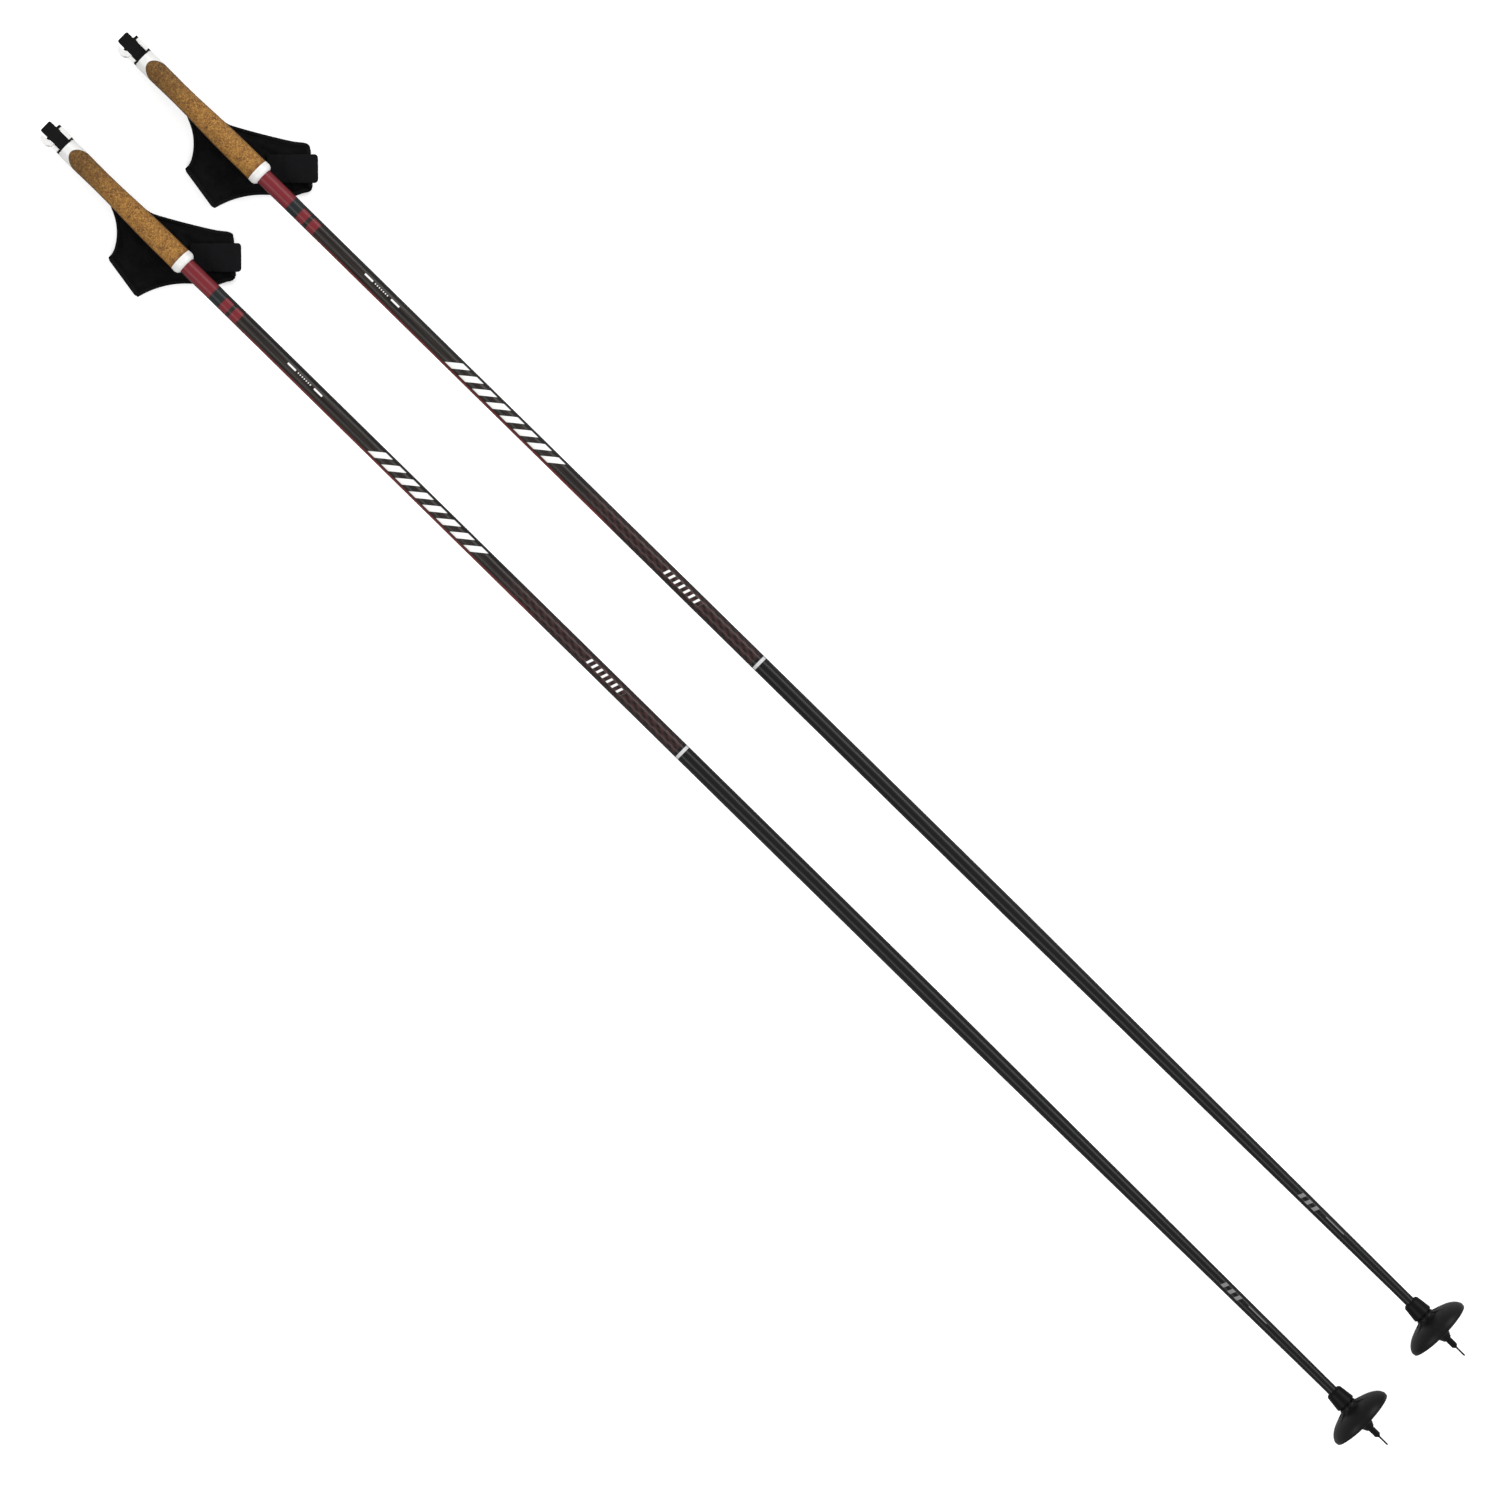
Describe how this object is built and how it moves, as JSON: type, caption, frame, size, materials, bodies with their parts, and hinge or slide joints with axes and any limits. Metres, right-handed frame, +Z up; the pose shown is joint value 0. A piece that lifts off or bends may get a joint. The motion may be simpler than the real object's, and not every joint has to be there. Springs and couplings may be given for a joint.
{
  "type": "cross country ski poles",
  "caption": "Pair of cross country ski poles with slim cork grips, click-in hand straps, tapered carbon shafts and screw-on baskets.",
  "frame": {"origin": "on the floor under the middle of the pair's box", "axes": "+X along the poles from grips to tips, +Y across the pair towards the right pole, +Z up"},
  "size_m": [1.7512, 0.2152, 0.0659],
  "materials": {
    "carbon": "clear-coated carbon tube with printed bands",
    "white_plastic": "moulded, slightly glossy",
    "black_plastic": "moulded, fine texture",
    "basket_plastic": "moulded, slightly flexible",
    "black_rubber": "matt",
    "cork": "sanded natural cork",
    "strap_fabric": "padded knitted fabric",
    "webbing": "woven tape",
    "hook_loop": "brushed loop pile",
    "steel": "ground pins",
    "carbide": "dark ground carbide"
  },
  "bodies": {
    "left_pole": {"left_shaft": "carbon", "left_grip_core": "white_plastic", "left_lever_pin": "steel", "left_head_band": "black_rubber", "left_cork_grip": "cork", "left_end_ring": "white_plastic", "left_tip_ferrule": "black_plastic", "left_carbide_tip": "carbide"},
    "left_lever": {"left_release_lever": "white_plastic"},
    "left_plug": {"left_strap_plug": "black_plastic", "left_webbing_pin": "steel"},
    "left_strap": {"left_strap_webbing": "webbing", "left_lower_panel": "strap_fabric", "left_upper_panel": "strap_fabric", "left_edge_bindings": "webbing", "left_closure_patch": "hook_loop"},
    "left_band": {"left_closure_band": "hook_loop"},
    "left_nut": {"left_collar_nut": "black_plastic"},
    "left_basket": {"left_basket_hub": "black_plastic", "left_basket_disc": "basket_plastic"},
    "right_pole": {"right_shaft": "carbon", "right_grip_core": "white_plastic", "right_lever_pin": "steel", "right_head_band": "black_rubber", "right_cork_grip": "cork", "right_end_ring": "white_plastic", "right_tip_ferrule": "black_plastic", "right_carbide_tip": "carbide"},
    "right_lever": {"right_release_lever": "white_plastic"},
    "right_plug": {"right_strap_plug": "black_plastic", "right_webbing_pin": "steel"},
    "right_strap": {"right_strap_webbing": "webbing", "right_lower_panel": "strap_fabric", "right_upper_panel": "strap_fabric", "right_edge_bindings": "webbing", "right_closure_patch": "hook_loop"},
    "right_band": {"right_closure_band": "hook_loop"},
    "right_nut": {"right_collar_nut": "black_plastic"},
    "right_basket": {"right_basket_hub": "black_plastic", "right_basket_disc": "basket_plastic"}
  },
  "joints": [
    {"name": "left_strap_release", "type": "slide", "parent": "left_pole", "child": "left_plug", "axis": [-1, 0, -0.0061], "range_m": [0, 0.03]},
    {"name": "left_lever_pivot", "type": "hinge", "parent": "left_pole", "child": "left_lever", "pos_m": [-0.84741, -0.0616, 0.02282], "axis": [-0.0061, 0, 1], "range_deg": [0, 6], "stiffness_Nm_per_rad": 0.2, "springref_deg": -5.73},
    {"name": "left_strap_swing", "type": "hinge", "parent": "left_plug", "child": "left_strap", "pos_m": [-0.85161, -0.05375, 0.013], "axis": [0, 0, 1], "range_deg": [-6, 6]},
    {"name": "left_band_peel", "type": "hinge", "parent": "left_strap", "child": "left_band", "pos_m": [-0.67511, -0.03275, 0.01015], "axis": [0.7071, -0.7071, 0], "range_deg": [0, 90]},
    {"name": "left_nut_turn", "type": "hinge", "parent": "left_pole", "child": "left_nut", "pos_m": [0.81436, -0.05375, 0.03298], "axis": [1, 0, 0.0061], "range_deg": [0, 90]},
    {"name": "left_basket_release", "type": "slide", "parent": "left_pole", "child": "left_basket", "axis": [1, 0, 0.0061], "range_m": [0, 0.065]},
    {"name": "right_pole_lift", "type": "slide", "parent": "left_pole", "child": "right_pole", "axis": [0, 0, 1], "range_m": [0, 0.3]},
    {"name": "right_strap_release", "type": "slide", "parent": "right_pole", "child": "right_plug", "axis": [-1, 0, -0.0061], "range_m": [0, 0.03]},
    {"name": "right_lever_pivot", "type": "hinge", "parent": "right_pole", "child": "right_lever", "pos_m": [-0.85431, 0.0474, 0.02282], "axis": [-0.0061, 0, 1], "range_deg": [0, 6], "stiffness_Nm_per_rad": 0.2, "springref_deg": -5.73},
    {"name": "right_strap_swing", "type": "hinge", "parent": "right_plug", "child": "right_strap", "pos_m": [-0.85851, 0.05525, 0.013], "axis": [0, 0, 1], "range_deg": [-6, 6]},
    {"name": "right_band_peel", "type": "hinge", "parent": "right_strap", "child": "right_band", "pos_m": [-0.68201, 0.07625, 0.01015], "axis": [0.7071, -0.7071, 0], "range_deg": [0, 90]},
    {"name": "right_nut_turn", "type": "hinge", "parent": "right_pole", "child": "right_nut", "pos_m": [0.80746, 0.05525, 0.03298], "axis": [1, 0, 0.0061], "range_deg": [0, 90]},
    {"name": "right_basket_release", "type": "slide", "parent": "right_pole", "child": "right_basket", "axis": [1, 0, 0.0061], "range_m": [0, 0.065]}
  ]
}
